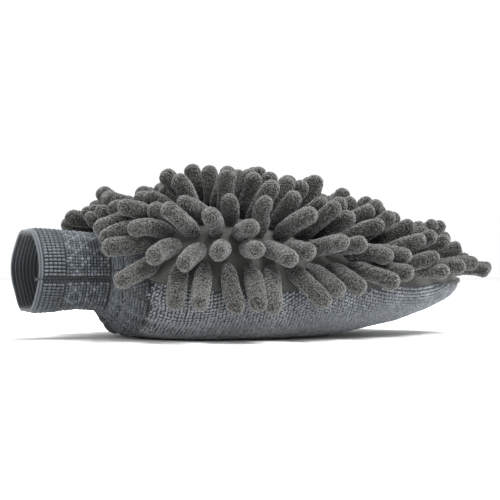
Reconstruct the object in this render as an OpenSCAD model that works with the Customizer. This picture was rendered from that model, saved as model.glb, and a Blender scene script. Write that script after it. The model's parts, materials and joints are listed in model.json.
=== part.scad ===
// Chenille wash mitt: a padded pouch with sewn chenille fingers on its back, a looped terry palm,
// a lined hand pocket and a tubular elastic cuff that bends at the wrist seam.
// Millimetres, +Z up. The origin is on the surface that the palm rests on, +X points at the fingertips.

/* [Pouch] */
// Distance from the origin back to the neck opening
neck_back = 97; // [94:1:99]
// Distance from the origin forward to the fingertip end
tip_front = 97; // [94:1:104]
// Half of the pouch's greatest width
half_w = 67; // [65:1:70]
// Height of the backing at the crest of the pouch
crest_h = 63; // [62:1:66]
// Height of the perimeter seam along the sides
seam_h = 25; // [24:1:27]
// Height of the perimeter seam at the fingertip end
tip_h = 29; // [27:1:31]
// Height of the middle of the neck and the cuff
neck_h = 35; // [34:1:37]

/* [Cuff] */
// Length of the cuff
cuff_len = 47; // [44:1:52]
// Outer radius of the cuff's round ends
cuff_r = 20.5; // [20:0.5:21]
// Half of the flat between the cuff's round ends
cuff_flat = 6.5; // [5:0.5:6.5]
// Thickness of the elastic webbing
webbing_t = 2; // [1.6:0.1:2.2]
// Distance between the elastic threads
elastic_pitch = 3; // [2:0.5:4]
// Height of the cuff's side seam below its middle
side_seam_drop = 5; // [5:1:10]

/* [Chenille fingers] */
// Number of sewn rows of fingers
row_count = 17; // [17:1:17]
// Distance between fingers along a row
finger_pitch = 11.5; // [11.5:0.5:14]
// Greatest radius of a finger
finger_r = 4.2; // [3.8:0.1:4.3]
// Mean length of a finger
finger_len = 28; // [24:1:30]
// Degrees that the fingers behind the parting lean back, for each millimetre from it
back_lean = 2; // [1.5:0.05:2.05]
// How far the fingers ahead of the parting lean forward at the fingertip end
front_lean = 1.5; // [0.8:0.1:1.6]

/* [Hidden] */
ROWS = [for (k = [1:row_count]) str("chenille_row_", k < 10 ? "0" : "", k)];
$fn = 48;

// Depths of the layers under the outer surface: [outside, inside]
backing_layer = [0, 2];
thread_layer = [2.15, 2.65];
back_sponge_layer = [2.8, 5.6];
back_liner_layer = [5.8, 6.6];
terry_layer = [0, 2.4];
palm_sponge_layer = [2.7, 5.6];
palm_liner_layer = [5.8, 6.6];
seam_gap = 1.2;
seam_t = 0.9;
edge_seam_layer = [0.4, 6.4];

// Neck opening of the panels, its binding and how far the cuff reaches inside
neck_w = 30.6;
neck_half_h = 24.4;
binding_r = [22.3, 23.6];
binding_t = 1.2;
fit_gap = 0.1;
cuff_reach = 4;
lining_ring = 3; // ring where the sponge and the liner begin, clear of the cuff's end
edge_seam_ring = 1;

// Outline of the pouch: station s runs from 0 at the neck to 1 at the fingertip end
pouch_len = neck_back + tip_front;
widest_s = 0.27;
shoulder_power = 2;
sink = 3; // how far the palm's free shape would reach below the surface that it rests on
trim = 0.05;
small_s = 0.0004;
small_angle = 0.4;
tip_limit = 0.9999;

// Fingers
root_r = 1.2;
root_sink = 0.6;
neck_along = [4, 9];
neck_share = 0.68;
first_row_s = 0.06;
last_row_s = 0.94;
row_power = 1.04;
edge_margin = 11;
parting_x = -44;
steepest_lean = 82;
side_lean = 0.4;
droop = [3.2, 1.3]; // at the neck and from mid-length on
droop_power = 7;
jitter = 0.1;
length_spread = 0.08;
seed = 5;
arc_steps = 24;
round_steps = 4;

// Mesh of the panels
stations = 18;
slices = 16;
back_powers = [1, 1];
palm_powers = [0.8, 0.8];

function mix(a, b, t) = a + (b - a) * t;
function unit(v) = v / norm(v);
function signed_pow(v, e) = sign(v) * pow(abs(v), e);
function shoulder(s) = pow(1 - pow(1 - min(1, s / widest_s), shoulder_power), 1 / shoulder_power);
function past_widest(s) = max(0, (s - widest_s) / (1 - widest_s));
function taper(s, p, q) = pow(max(0, 1 - pow(past_widest(s), p)), 1 / q);

function half_width(s) = mix(neck_w, half_w, shoulder(s)) * taper(s, 2.4, 2);
function seam_z(s) =
    s < widest_s ? mix(neck_h, seam_h, shoulder(s)) : mix(seam_h, tip_h, pow(past_widest(s), 2));
function crown(s) = mix(neck_half_h, crest_h - seam_h, shoulder(s)) * taper(s, 1.3, 1.3);
function depth(s) = mix(neck_half_h, seam_h + sink, shoulder(s)) * taper(s, 2, 1.6);

// How a layer's outline moves for each millimetre of depth: along X, and towards the middle
function inset(s) =
    let (s0 = max(0, s - small_s), s1 = min(1, s + small_s))
    unit([half_width(s1) - half_width(s0), pouch_len * (s1 - s0)]);
function narrowed(r, t) = r > 0 ? r * r / (r + t) : 0;

// A point at depth t: side is 1 for the back and -1 for the palm, and angle a runs from 0 at
// the -Y seam over 90 in the middle to 180 at the +Y seam
function skin_point(s, a, side, t = 0) =
    let (way = s > tip_limit ? [-1, 0] : inset(s),
         powers = side > 0 ? back_powers : palm_powers,
         w = narrowed(half_width(s), t * way[1]),
         h = narrowed(side > 0 ? crown(s) : depth(s), t * way[1]),
         z = seam_z(s) + side * (seam_gap / 2 + h * signed_pow(sin(a), powers[1])))
    [pouch_len * s - neck_back + t * way[0],
     -w * signed_pow(cos(a), powers[0]),
     side > 0 ? z : max(z, t - trim)];
function normal(s, a, side) =
    let (along = skin_point(s + small_s, a, side) - skin_point(max(0, s - small_s), a, side),
         across = skin_point(s, a + small_angle, side) - skin_point(s, a - small_angle, side))
    side * unit(cross(along, across));

// Rings of a panel, closer together towards both ends: the last one is the fingertip point
function station(i) = 0.5 - 0.5 * cos(180 * i / stations);
function ring_before(s) = floor(stations * acos(1 - 2 * s) / 180);
// A point of a panel's flat facets, at slice j
function facet_point(s, j, side, t) =
    let (i = ring_before(s), s0 = station(i), s1 = station(i + 1), a = 180 * j / slices)
    mix(skin_point(s0, a, side, t), skin_point(s1, a, side, t), (s - s0) / (s1 - s0));

function quad(a, b, c, d) = [[a, b, c], [a, c, d]];
function turned(faces) = [for (f = faces) [f[2], f[1], f[0]]];

// A closed skin over rings that all have the same number of points
module skin(rings) {
    n = len(rings[0]);
    last = (len(rings) - 1) * n;
    sides = [for (i = [0:len(rings) - 2], j = [0:n - 1])
        each quad(i * n + j, i * n + (j + 1) % n, (i + 1) * n + (j + 1) % n, (i + 1) * n + j)];
    caps = concat(
        [for (j = [1:n - 2]) [0, j + 1, j]],
        [for (j = [1:n - 2]) [last, last + j, last + j + 1]]);
    polyhedron([for (r = rings) each r], concat(sides, caps), convexity = 6);
}

// One layer of the back (side 1) or the palm (side -1) between two depths, open at its first ring
module panel(side, layer, first = 0) {
    np = slices;
    n = 2 * (np + 1);
    m = stations - first;
    points = concat(
        [for (i = [first:m + first - 1], t = layer, j = [0:np])
            skin_point(station(i), 180 * j / np, side, t)],
        [for (t = layer) skin_point(1, 90, side, t)]);
    tip_out = m * n;
    tip_in = tip_out + 1;
    last = (m - 1) * n;
    faces = concat(
        [for (i = [0:m - 2], j = [0:np - 1]) let (o = i * n + j, q = o + np + 1)
            each concat(quad(o, o + n, o + n + 1, o + 1), quad(q, q + 1, q + n + 1, q + n))],
        [for (i = [0:m - 2]) let (o = i * n, q = o + np + 1)
            each concat(quad(o, q, q + n, o + n), quad(o + np, o + np + n, q + np + n, q + np))],
        [for (j = [0:np - 1]) let (q = j + np + 1) each quad(j, j + 1, q + 1, q)],
        [for (j = [0:np - 1]) let (o = last + j, q = o + np + 1)
            each [[o, tip_out, o + 1], [q, q + 1, tip_in]]],
        quad(last, last + np + 1, tip_in, tip_out),
        quad(last + np, tip_out, tip_in, last + 2 * np + 1));
    polyhedron(points, side > 0 ? turned(faces) : faces, convexity = 6);
}

// ---- Chenille fingers ----

function row_station(k) = mix(first_row_s, last_row_s, pow((k - 1) / (row_count - 1), row_power));
// Pairs of distance from the crest line and angle, along half a row
function arc_table(s) =
    let (p = [for (i = [0:arc_steps]) skin_point(s, 90 * (1 - i / arc_steps), 1)],
         run = [for (i = 0, total = 0; i <= arc_steps;
                     total = total + (i < arc_steps ? norm(p[i + 1] - p[i]) : 0), i = i + 1) total])
    [for (i = [0:arc_steps]) [run[i], 90 * (1 - i / arc_steps)]];
// Distances of a row's fingers from the crest line, staggered on every second row
function row_places(k, half) =
    let (odd = k % 2, usable = max(0, half - edge_margin),
         gaps = max(1, round(usable / finger_pitch - odd / 2)) + odd / 2)
    usable < finger_pitch / 2 ? [0] : [for (m = [-gaps:1:gaps + 0.01]) m * usable / gaps];

function finger_direction(root, n, a, wobble) =
    let (ahead = root.x - parting_x,
         back = tan(min(steepest_lean, -back_lean * ahead)) * abs(sin(a)),
         lean_x = ahead < 0 ? -back : front_lean * ahead / (tip_front - parting_x),
         lean_y = side_lean * root.y / half_w,
         most = mix(droop[0], droop[1], min(1, (root.x + neck_back) / neck_back)),
         fall = most * pow(abs(cos(a)), droop_power))
    unit(n + [lean_x, lean_y, -fall] + jitter * wobble);
// A row's fingers: [root, direction, length]
function row_fingers(k) =
    let (s = row_station(k), table = arc_table(s), places = row_places(k, table[arc_steps][0]),
         random = rands(-1, 1, 4 * len(places), seed + k))
    [for (i = [0:len(places) - 1])
        let (a = places[i] < 0 ? lookup(-places[i], table) : 180 - lookup(places[i], table),
             root = skin_point(s, a, 1), n = normal(s, a, 1),
             wobble = [random[4 * i], random[4 * i + 1], random[4 * i + 2]],
             direction = finger_direction(root, n, a, wobble))
        [root - root_sink * n, direction, finger_len * (1 + length_spread * random[4 * i + 3])]];

// A finger stands on its pinched root and points along +Z
module finger(length) {
    cap = [for (i = [0:round_steps]) let (t = 90 * i / round_steps)
        [finger_r * cos(t), length - finger_r + finger_r * sin(t)]];
    rotate_extrude()
        polygon(concat([[0, 0], [root_r, 0], [finger_r * neck_share, neck_along[0]],
                        [finger_r, neck_along[1]]], cap));
}

module chenille_row(k) {
    color("dimgray")
    for (f = row_fingers(k)) {
        turn = [0, acos(f[1].z), atan2(f[1].y, f[1].x)];
        translate(f[0]) rotate(turn) finger(f[2]);
    }
}

// The thread line that holds each row, on the inside of the backing
module row_stitching() {
    half_s = 0.25 / pouch_len;
    t = thread_layer;
    color("gray")
    for (k = [1:row_count]) {
        s = row_station(k);
        skin([for (j = [1:slices - 1])
            [facet_point(s - half_s, j, 1, t[1]), facet_point(s + half_s, j, 1, t[1]),
             facet_point(s + half_s, j, 1, t[0]), facet_point(s - half_s, j, 1, t[0])]]);
    }
}

// ---- Pouch ----

module chenille_backing() { color("gray") panel(1, backing_layer); }
module back_sponge() { color("lightgray") panel(1, back_sponge_layer, lining_ring); }
module back_liner() { color("darkgray") panel(1, back_liner_layer, lining_ring); }
module palm_sponge() { color("lightgray") panel(-1, palm_sponge_layer, lining_ring); }
module palm_liner() { color("darkgray") panel(-1, palm_liner_layer, lining_ring); }

module terry_palm() {
    wide = 4 * half_w;
    color("slategray")
    difference() {
        panel(-1, terry_layer);
        translate([-wide / 2, -wide / 2, -wide]) cube(wide);
    }
}

// Folded-in edges of the two panels, overlocked together along the perimeter
module edge_seam() {
    near = [for (i = [edge_seam_ring:stations]) [station(i), 0]];
    far = [for (i = [stations - 1:-1:edge_seam_ring]) [station(i), 180]];
    lift = [0, 0, (seam_gap - seam_t) / 2];
    t = edge_seam_layer;
    color("dimgray")
    skin([for (p = concat(near, far))
        [skin_point(p[0], p[1], -1, t[0]) + lift, skin_point(p[0], p[1], 1, t[0]) - lift,
         skin_point(p[0], p[1], 1, t[1]) - lift, skin_point(p[0], p[1], -1, t[1]) + lift]]);
}

// ---- Cuff ----

module oval(r) {
    for (y = [-cuff_flat, cuff_flat]) translate([y, 0]) circle(r);
    square([2 * cuff_flat, 2 * r], center = true);
}
module oval_ring(r_in, r_out) { difference() { oval(r_out); oval(r_in); } }
// Draws a YZ section of the cuff along X, from x0 to x1
module along_cuff(x0, x1) {
    translate([x0, 0, neck_h]) rotate([90, 0, 90]) linear_extrude(x1 - x0) children();
}

cuff_end = -neck_back + cuff_reach;
cuff_mouth = cuff_end - cuff_len;
inner_r = cuff_r - webbing_t;
seam_angle = 180 + asin(side_seam_drop / cuff_r);
elastic_t = 0.7;
elastic_w = 1;
groove = 1;
stitch_len = 3;
stitch_r = 0.35;
stitch_pitch = 4;

module at_side_seam(r) { translate([-cuff_flat, 0]) rotate(seam_angle) translate([r, 0]) children(); }

module cuff_webbing() {
    color("slategray")
    along_cuff(cuff_mouth, cuff_end)
        difference() {
            oval_ring(inner_r, cuff_r);
            at_side_seam(cuff_r) square([2 * groove, groove], center = true);
        }
}

module cuff_elastic_threads() {
    first = cuff_mouth + elastic_pitch / 2;
    color("darkslategray")
    for (x = [first:elastic_pitch:cuff_end - elastic_pitch / 2])
        along_cuff(x, x + elastic_w) oval_ring(inner_r - fit_gap - elastic_t, inner_r - fit_gap);
}

module cuff_seam_thread() {
    color("black")
    for (x = [cuff_mouth + 1:stitch_pitch:cuff_end - stitch_len])
        along_cuff(x, x + stitch_len) at_side_seam(cuff_r - groove / 2) circle(stitch_r);
}

// The two webbing ends, pressed open against the inside of the cuff
module cuff_seam_allowance() {
    r_out = inner_r - 2 * fit_gap - elastic_t;
    r_in = r_out - webbing_t * 0.6;
    open_angle = 16;
    color("slategray")
    along_cuff(cuff_mouth + 1, cuff_end - 1)
        translate([-cuff_flat, 0])
        for (turn = [-1, 1])
            intersection() {
                difference() { circle(r_out); circle(r_in); }
                rotate(seam_angle + turn * (open_angle / 2 + 1))
                    polygon([[0, 0], [cuff_r, -cuff_r * tan(open_angle / 2)],
                             [cuff_r, cuff_r * tan(open_angle / 2)]]);
            }
}

// Tape that covers the raw edges of the panels around the neck, and the thread that holds it
module neck_binding() {
    back = -neck_back - fit_gap;
    color("slategray")
    along_cuff(back - binding_t, back) oval_ring(binding_r[0], binding_r[1]);
}

module neck_stitching() {
    back = -neck_back - fit_gap - binding_t;
    middle = (binding_r[0] + binding_r[1]) / 2;
    color("gray")
    along_cuff(back - stitch_r, back) oval_ring(middle - stitch_r, middle + stitch_r);
}

cuff_webbing();
cuff_elastic_threads();
cuff_seam_thread();
cuff_seam_allowance();
neck_binding();
neck_stitching();
chenille_backing();
for (k = [1:row_count]) chenille_row(k);
row_stitching();
back_sponge();
back_liner();
edge_seam();
terry_palm();
palm_sponge();
palm_liner();
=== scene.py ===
"""Looks of the wash mitt: chenille fingers, twill backing, looped terry palm and elastic knit cuff.
Lengths are in metres unless a name ends in _mm."""
import json
import math

import bmesh
import bpy
import numpy as np
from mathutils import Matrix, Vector
from mathutils.bvhtree import BVHTree


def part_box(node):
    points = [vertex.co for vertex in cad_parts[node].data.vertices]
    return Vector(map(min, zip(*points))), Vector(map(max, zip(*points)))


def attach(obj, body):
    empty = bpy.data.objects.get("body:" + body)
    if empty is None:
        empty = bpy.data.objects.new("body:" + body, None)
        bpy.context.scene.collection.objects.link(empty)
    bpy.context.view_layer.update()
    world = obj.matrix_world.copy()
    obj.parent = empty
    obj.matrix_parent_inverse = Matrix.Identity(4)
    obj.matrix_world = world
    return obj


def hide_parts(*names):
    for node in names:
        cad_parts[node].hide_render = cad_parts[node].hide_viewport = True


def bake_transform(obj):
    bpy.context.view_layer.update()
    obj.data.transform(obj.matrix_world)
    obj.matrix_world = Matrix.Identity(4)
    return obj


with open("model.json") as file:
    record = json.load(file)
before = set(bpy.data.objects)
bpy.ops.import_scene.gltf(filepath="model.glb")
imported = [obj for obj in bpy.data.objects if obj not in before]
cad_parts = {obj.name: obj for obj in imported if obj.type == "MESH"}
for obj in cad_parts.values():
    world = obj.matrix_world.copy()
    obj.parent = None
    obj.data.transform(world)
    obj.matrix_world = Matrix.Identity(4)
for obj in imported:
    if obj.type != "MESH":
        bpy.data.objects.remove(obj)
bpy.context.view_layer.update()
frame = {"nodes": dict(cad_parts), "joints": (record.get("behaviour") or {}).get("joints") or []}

MM = 0.001
TAU = 2 * math.pi

# ---- Places read from the frame ----

backing_low, backing_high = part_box("chenille_backing")
cuff_low, cuff_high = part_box("cuff_webbing")
pivot = frame["joints"][0]["pos_m"]
neck_x, tip_x = backing_low.x, backing_high.x
pouch_len = tip_x - neck_x
half_w = (backing_high.y - backing_low.y) / 2
seam_gap = 1.2 * MM
seam_h = backing_low.z - seam_gap / 2
crest_h = backing_high.z
neck_z = pivot[2]
tip_h = seam_h + 4 * MM
neck_w, neck_half_h = 30.6 * MM, 24.4 * MM
widest_s = 0.27
sink = 3 * MM
# How the plan, the back and the palm close in past the widest station: two powers each, as in the CAD
PLAN_TAPER, BACK_TAPER, PALM_TAPER = (2.4, 2), (1.3, 1.3), (2.0, 1.6)
PALM_SQUARENESS = 0.8
LAST_STATION = 0.9985

# ---- Camera, light and floor ----

azimuth = math.radians(-20)
EYE_DISTANCE, EYE_HEIGHT = 0.70, 37 * MM
LENS_MM, SENSOR_MM = 95.7, 36
aim = np.array([-21 * MM, 0, 45 * MM])
forward = np.array([-math.sin(azimuth), math.cos(azimuth), 0])
eye = aim - EYE_DISTANCE * forward
eye[2] = EYE_HEIGHT


def look_at(obj, place, target):
    """Puts obj at place, with its -Z axis towards target."""
    obj.location = place
    obj.rotation_euler = (Vector(target) - Vector(place)).to_track_quat("-Z", "Y").to_euler()


camera_data = bpy.data.cameras.new("camera")
camera_data.lens = LENS_MM
camera_data.sensor_width = SENSOR_MM
camera = bpy.data.objects.new("camera", camera_data)
bpy.context.scene.collection.objects.link(camera)
look_at(camera, eye, aim)
bpy.context.scene.camera = camera


def area_light(name, place, target, size, power):
    data = bpy.data.lights.new(name, "AREA")
    data.shape = "DISK"
    data.size = size
    data.energy = power
    obj = bpy.data.objects.new(name, data)
    bpy.context.scene.collection.objects.link(obj)
    look_at(obj, place, target)


LIT_POINT = (0, 0, 30 * MM)
for light, place, size, power in (("key_light", (0.2, -0.8, 0.95), 0.5, 21),
                                  ("left_light", (-1.0, -0.5, 0.5), 0.5, 3),
                                  ("top_light", (0.2, 0.3, 1.1), 0.6, 20)):
    area_light(light, place, LIT_POINT, size, power)
bpy.context.scene.view_settings.view_transform = "Standard"

world = bpy.data.worlds.new("studio")
bpy.context.scene.world = world
world.use_nodes = True
background = world.node_tree.nodes["Background"]
background.inputs["Color"].default_value = (1, 1, 1, 1)
background.inputs["Strength"].default_value = 1.0

# ---- Node helpers for materials ----


class Shader:
    """A Principled material with a small set of node shorthands."""

    def __init__(self, name, roughness=0.9, sheen=0.0, sheen_roughness=0.5, specular=0.2):
        self.mat = bpy.data.materials.new(name)
        self.mat.use_nodes = True
        self.tree = self.mat.node_tree
        self.bsdf = self.tree.nodes["Principled BSDF"]
        self.set("Roughness", roughness)
        self.set("Sheen Weight", sheen)
        self.set("Sheen Roughness", sheen_roughness)
        self.set("Specular IOR Level", specular)

    def set(self, socket, value):
        self.bsdf.inputs[socket].default_value = value

    def new(self, kind, **fields):
        node = self.tree.nodes.new("ShaderNode" + kind)
        for key, value in fields.items():
            setattr(node, key, value)
        return node

    def link(self, a, b):
        self.tree.links.new(a, b)

    def value_in(self, socket, value):
        if isinstance(value, (int, float)):
            socket.default_value = value
        else:
            self.link(value, socket)

    def math(self, op, a, b=0.0):
        node = self.new("Math", operation=op)
        self.value_in(node.inputs[0], a)
        self.value_in(node.inputs[1], b)
        return node.outputs[0]

    def times(self, a, b):
        return self.math("MULTIPLY", a, b)

    def tone(self):
        return self.new("Attribute", attribute_name="tone").outputs["Fac"]

    def uv(self):
        return self.new("UVMap", uv_map="cloth").outputs["UV"]

    def object_space(self):
        return self.new("TexCoord").outputs["Object"]

    def noise(self, vector, scale, detail=2.0):
        node = self.new("TexNoise")
        node.inputs["Scale"].default_value = scale
        node.inputs["Detail"].default_value = detail
        self.link(vector, node.inputs["Vector"])
        return node.outputs["Fac"]

    def cells(self, vector, scale):
        node = self.new("TexVoronoi", feature="F1")
        node.inputs["Scale"].default_value = scale
        self.link(vector, node.inputs["Vector"])
        return node.outputs["Distance"]

    def shades(self, fac, rgb, *stops):
        """A ramp through lighter and darker shades of one colour."""
        return self.ramp(fac, [(at, scaled(rgb, k)) for at, k in stops])

    def ramp(self, fac, stops):
        node = self.new("ValToRGB")
        elements = node.color_ramp.elements
        while len(elements) < len(stops):
            elements.new(0.5)
        for element, (at, rgb) in zip(elements, stops):
            element.position = at
            element.color = (*rgb, 1)
        self.link(fac, node.inputs["Fac"])
        return node.outputs["Color"]

    def mix(self, fac, a, b, blend="MIX"):
        node = self.new("Mix", data_type="RGBA", blend_type=blend)
        self.value_in(node.inputs["Factor"], fac)
        for socket, colour in ((node.inputs["A"], a), (node.inputs["B"], b)):
            if isinstance(colour, tuple):
                socket.default_value = (*colour, 1)
            else:
                self.link(colour, socket)
        return node.outputs["Result"]

    def wave(self, coordinate, pitch):
        """A 0 to 1 sine of one coordinate with that pitch."""
        turns = self.times(coordinate, TAU / pitch)
        return self.times(self.math("ADD", self.math("SINE", turns), 1.0), 0.5)

    def split(self, vector):
        node = self.new("SeparateXYZ")
        self.link(vector, node.inputs[0])
        return node.outputs

    def bump(self, height, distance, strength):
        node = self.new("Bump")
        node.inputs["Strength"].default_value = strength
        node.inputs["Distance"].default_value = distance
        self.link(height, node.inputs["Height"])
        self.link(node.outputs["Normal"], self.bsdf.inputs["Normal"])

    def colour(self, colour):
        self.link(colour, self.bsdf.inputs["Base Color"])


def scaled(rgb, k):
    return tuple(c * k for c in rgb)


WHITE = (1, 1, 1)
CHENILLE = (0.0705, 0.0712, 0.0663)
TWILL = (0.044, 0.044, 0.0392)
TERRY = (0.218, 0.235, 0.251)
WEBBING = (0.107, 0.121, 0.136)


def chenille_material():
    m = Shader("chenille_pile", roughness=0.95, sheen=0.35, sheen_roughness=0.4, specular=0.1)
    place = m.object_space()
    tone = m.tone()
    curls = m.cells(place, 1450)
    fine = m.noise(place, 2300, detail=3)
    broad = m.noise(place, 130)
    speck = m.math("ADD", m.times(curls, 0.8), m.times(fine, 0.4))
    base = m.shades(speck, CHENILLE, (0.28, 1.9), (0.5, 1), (0.72, 0.18))
    base = m.mix(m.times(broad, 0.15), base, scaled(CHENILLE, 1.2))
    # Painted shade and highlight carried by the tone attribute: dark in the crevices between the grains and
    # towards each finger's root, lighter on the round tips.
    shade = m.ramp(tone, [(0.0, scaled(WHITE, 0.06)), (0.4, scaled(WHITE, 0.68)), (1.0, (1.75, 1.75, 1.73))])
    m.colour(m.mix(1.0, base, shade, "MULTIPLY"))
    height = m.math("SUBTRACT", m.times(fine, 0.6), curls)
    m.bump(height, 0.6 * MM, 1.0)
    return m.mat


def twill_material():
    m = Shader("backing_twill", roughness=0.85, sheen=0.2, specular=0.15)
    uv = m.split(m.uv())
    diagonal = m.wave(m.math("ADD", uv[0], uv[1]), 1.7 * MM)
    across = m.wave(m.math("SUBTRACT", uv[0], uv[1]), 1.0 * MM)
    slub = m.noise(m.object_space(), 900)
    weave = m.math("ADD", m.times(diagonal, 0.75), m.times(across, 0.25))
    base = m.shades(weave, TWILL, (0.15, 0.22), (0.85, 1.5))
    m.colour(m.mix(m.times(slub, 0.3), base, scaled(TWILL, 1.2)))
    m.bump(weave, 0.16 * MM, 0.9)
    return m.mat


def terry_material(name, gain):
    m = Shader(name, roughness=0.9, sheen=0.3, sheen_roughness=0.4, specular=0.15)
    place = m.object_space()
    strands = m.noise(place, 2600, detail=2)
    patches = m.noise(place, 45, detail=3)
    tone = m.tone()
    base = m.shades(strands, TERRY, (0.3, 0.7 * gain), (0.7, 1.2 * gain))
    base = m.mix(m.times(patches, 0.3), base, scaled(TERRY, 0.85 * gain))
    shade = m.ramp(tone, [(0.0, (0.5, 0.5, 0.51)), (1.0, scaled(WHITE, 1.05))])
    m.colour(m.mix(1.0, base, shade, "MULTIPLY"))
    m.bump(strands, 0.15 * MM, 0.8)
    return m.mat


def webbing_material(name, gain, courses_pitch=1.1 * MM, wales_pitch=0.9 * MM):
    m = Shader(name, roughness=0.85, sheen=0.25, sheen_roughness=0.4, specular=0.2)
    uv = m.split(m.uv())
    courses = m.wave(uv[0], courses_pitch)
    wales = m.wave(uv[1], wales_pitch)
    knit = m.math("ADD", m.times(courses, 0.5), m.times(wales, 0.5))
    yarn = m.noise(m.object_space(), 2200, detail=2)
    dirt = m.noise(m.object_space(), 60, detail=3)
    mottle = m.math("ADD", m.times(knit, 0.55), m.times(yarn, 0.45))
    base = m.shades(mottle, WEBBING, (0.25, 0.5 * gain), (0.75, 1.4 * gain))
    m.colour(m.mix(m.times(dirt, 0.25), base, scaled(WEBBING, 0.8 * gain)))
    m.bump(mottle, 0.2 * MM, 0.9)
    return m.mat


def thread_material(name, rgb):
    m = Shader(name, roughness=0.7, sheen=0.2, specular=0.3)
    twist = m.noise(m.object_space(), 3000, detail=1)
    m.colour(m.shades(twist, rgb, (0.3, 0.7), (0.7, 1.3)))
    m.bump(twist, 0.1 * MM, 0.7)
    return m.mat


def sponge_material():
    m = Shader("sponge_foam", roughness=0.95, specular=0.1)
    pores = m.cells(m.object_space(), 900)
    m.colour(m.ramp(pores, [(0.1, (0.28, 0.28, 0.27)), (0.6, (0.62, 0.62, 0.6))]))
    m.bump(pores, 0.3 * MM, 0.8)
    return m.mat


def floor_material():
    m = Shader("pale_floor", roughness=0.8, specular=0.1)
    grain = m.noise(m.object_space(), 8)
    m.colour(m.shades(grain, WHITE, (0.3, 0.90), (0.7, 0.93)))
    return m.mat


chenille = chenille_material()
twill = twill_material()
terry_loop_mat = terry_material("terry_loops", 1.15)
# The terry ground is a darkened copy of the terry, gain 0.22 against 1.15 for the loops: painted shade where
# the ground cloth shows between the loops.
terry_ground_shade_mat = terry_material("terry_ground", 0.22)
# The cuff knit comes in shaded and lit copies of one yarn colour: the ground at gain 0.13 is painted shade
# between the raised stitches, the raised stitches at 0.68 carry a painted highlight, and the zigzags at 0.92
# a stronger one.
webbing = webbing_material("cuff_knit", 0.13)
webbing_raised_highlight = webbing_material("cuff_raised_knit", 0.68)
webbing_zigzag_highlight = webbing_material("cuff_zigzag_knit", 0.92)
webbing_inside = webbing_material("cuff_inside_knit", 0.2, 1.3 * MM, 0.8 * MM)
elastic = thread_material("elastic_thread", (0.05, 0.06, 0.07))
seam_thread = thread_material("seam_thread", (0.035, 0.038, 0.042))
overlock_thread = thread_material("overlock_thread", (0.06, 0.065, 0.07))
plain_thread = thread_material("plain_thread", (0.12, 0.12, 0.115))
liner_cloth = webbing_material("liner_knit", 0.75)
sponge = sponge_material()

# ---- Mesh helpers ----


def make_mesh(name, points, quads=None, tris=None, material=None, uv=None, tone=None):
    """A smooth mesh object from arrays: points (n, 3), quads (m, 4), tris (k, 3), uv and tone per point."""
    parts = [np.asarray(f, np.int32) for f in (quads, tris) if f is not None]
    corners = np.concatenate([f.ravel() for f in parts])
    sizes = np.concatenate([np.full(len(f), f.shape[1], np.int32) for f in parts])
    mesh = bpy.data.meshes.new(name)
    mesh.vertices.add(len(points))
    mesh.vertices.foreach_set("co", np.asarray(points, np.float32).ravel())
    mesh.loops.add(len(corners))
    mesh.loops.foreach_set("vertex_index", corners)
    mesh.polygons.add(len(sizes))
    mesh.polygons.foreach_set("loop_start", (np.cumsum(sizes) - sizes).astype(np.int32))
    mesh.update(calc_edges=True)
    if uv is not None:
        layer = mesh.uv_layers.new(name="cloth")
        layer.data.foreach_set("uv", np.asarray(uv, np.float32)[corners].ravel())
    if tone is not None:
        attribute = mesh.attributes.new("tone", "FLOAT", "POINT")
        attribute.data.foreach_set("value", np.asarray(tone, np.float32))
    mesh.shade_smooth()
    mesh.materials.append(material)
    obj = bpy.data.objects.new(name, mesh)
    bpy.context.scene.collection.objects.link(obj)
    return obj


def closed_mesh(*args, **fields):
    """A mesh object whose faces are all turned outwards."""
    obj = make_mesh(*args, **fields)
    bm = bmesh.new()
    bm.from_mesh(obj.data)
    bmesh.ops.recalc_face_normals(bm, faces=bm.faces)
    bm.to_mesh(obj.data)
    bm.free()
    return obj


def rides_pouch(obj, slot_name, *nodes):
    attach(obj, "pouch")
    if nodes:
        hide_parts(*nodes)


def grid_quads(rows, cols, close_cols=False, close_rows=False):
    """Quads of a rows x cols grid of points, with its columns or rows wrapped round if asked."""
    i = np.arange(rows if close_rows else rows - 1)[:, None]
    j = np.arange(cols if close_cols else cols - 1)[None, :]
    i1, j1 = (i + 1) % rows, (j + 1) % cols
    q = np.stack([i * cols + j, i * cols + j1, i1 * cols + j1, i1 * cols + j], -1)
    return q.reshape(-1, 4)


def eased(n):
    """n numbers from 0 to 1, closer together towards both ends."""
    return 0.5 - 0.5 * np.cos(np.linspace(0, math.pi, n))


def run_length(line):
    """Length along a line of points, from 0 at its first point."""
    return np.concatenate([[0], np.cumsum(np.linalg.norm(np.diff(line, axis=0), axis=-1))])


def unit(v):
    return v / np.maximum(np.linalg.norm(v, axis=-1, keepdims=True), 1e-12)


def circles(e1, e2, sides):
    """A circle of unit points for each pair of axes, as (n, sides, 3)."""
    angle = (np.arange(sides) / sides * TAU)[None, :, None]
    return np.cos(angle) * e1[:, None] + np.sin(angle) * e2[:, None]


def smooth_step(x, a, b):
    t = np.clip((x - a) / (b - a), 0, 1)
    return t * t * (3 - 2 * t)


def scatter(shape_points, shape_quads, places, axes, sizes):
    """Copies a small shape to each place. axes is (n, 3, 3), with the shape's own axes as rows."""
    n, k = len(places), len(shape_points)
    local = shape_points[None] * sizes[:, None, :]
    points = np.einsum("nkj,njc->nkc", local, axes) + places[:, None]
    quads = shape_quads[None] + (np.arange(n) * k)[:, None, None]
    return points.reshape(-1, 3), quads.reshape(-1, 4)


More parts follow.
